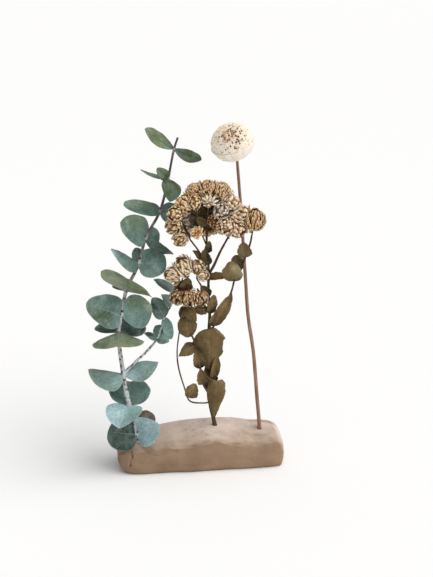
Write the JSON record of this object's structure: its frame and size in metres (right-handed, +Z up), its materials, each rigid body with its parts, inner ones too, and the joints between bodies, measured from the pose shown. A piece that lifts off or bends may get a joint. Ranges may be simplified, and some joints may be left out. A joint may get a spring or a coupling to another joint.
{
  "type": "ikebana arrangement",
  "caption": "Block of pressed clay holding a preserved eucalyptus branch, a dried everlasting stalk with a dome of papery heads, and one long stem with a pale button head.",
  "frame": {"origin": "centre of the clay block's flat underside", "axes": "+Z up the stems, +X along the block to the viewer's right, +Y away from the viewer"},
  "size_m": [0.1613, 0.0661, 0.2839],
  "materials": {
    "clay": "matt, hand-pressed, smoothed with a wet finger",
    "eucalyptus": "preserved leaf with a waxy bloom",
    "dry_stalk": "matt, dry and brittle",
    "florets_tan": "dry papery florets, tan",
    "florets_olive": "dry papery florets, olive tan",
    "florets_cream": "dry papery bracts, cream",
    "florets_amber": "dry papery bracts, orange tan",
    "florets_pale": "dry papery bracts, grey cream",
    "florets_dusty": "dry papery bracts, pinkish tan",
    "button_stem": "smooth dry stem",
    "button_bracts": "smooth papery bracts, nearly white",
    "button_florets": "dense florets, cream with brown tips"
  },
  "bodies": {
    "root": {"clay_base": "clay", "eucalyptus_branch": "eucalyptus", "dried_flower_stalk": "dry_stalk", "flower_head_01": "florets_tan", "flower_head_02": "florets_tan", "flower_head_03": "florets_tan", "flower_head_04": "florets_tan", "flower_head_05": "florets_tan", "flower_head_06": "florets_tan", "flower_head_07": "florets_tan", "flower_head_08": "florets_olive", "flower_head_09": "florets_olive", "flower_head_10": "florets_olive", "flower_head_11": "florets_olive", "flower_head_12": "florets_olive", "flower_head_13": "florets_olive", "flower_head_14": "florets_olive", "flower_head_15": "florets_tan", "flower_head_16": "florets_tan", "flower_head_17": "florets_amber", "flower_head_18": "florets_pale", "flower_head_19": "florets_cream", "flower_head_20": "florets_cream", "flower_head_21": "florets_cream", "flower_head_22": "florets_cream", "flower_head_23": "florets_tan", "flower_head_24": "florets_cream", "flower_head_25": "florets_cream", "flower_head_26": "florets_cream", "flower_head_27": "florets_cream", "flower_head_28": "florets_dusty", "flower_head_29": "florets_dusty", "flower_head_30": "florets_dusty", "flower_tuft_middle": "florets_cream", "flower_tuft_peach": "florets_amber", "button_stem": "button_stem", "button_cup": "button_bracts", "button_florets": "button_florets"}
  },
  "joints": []
}
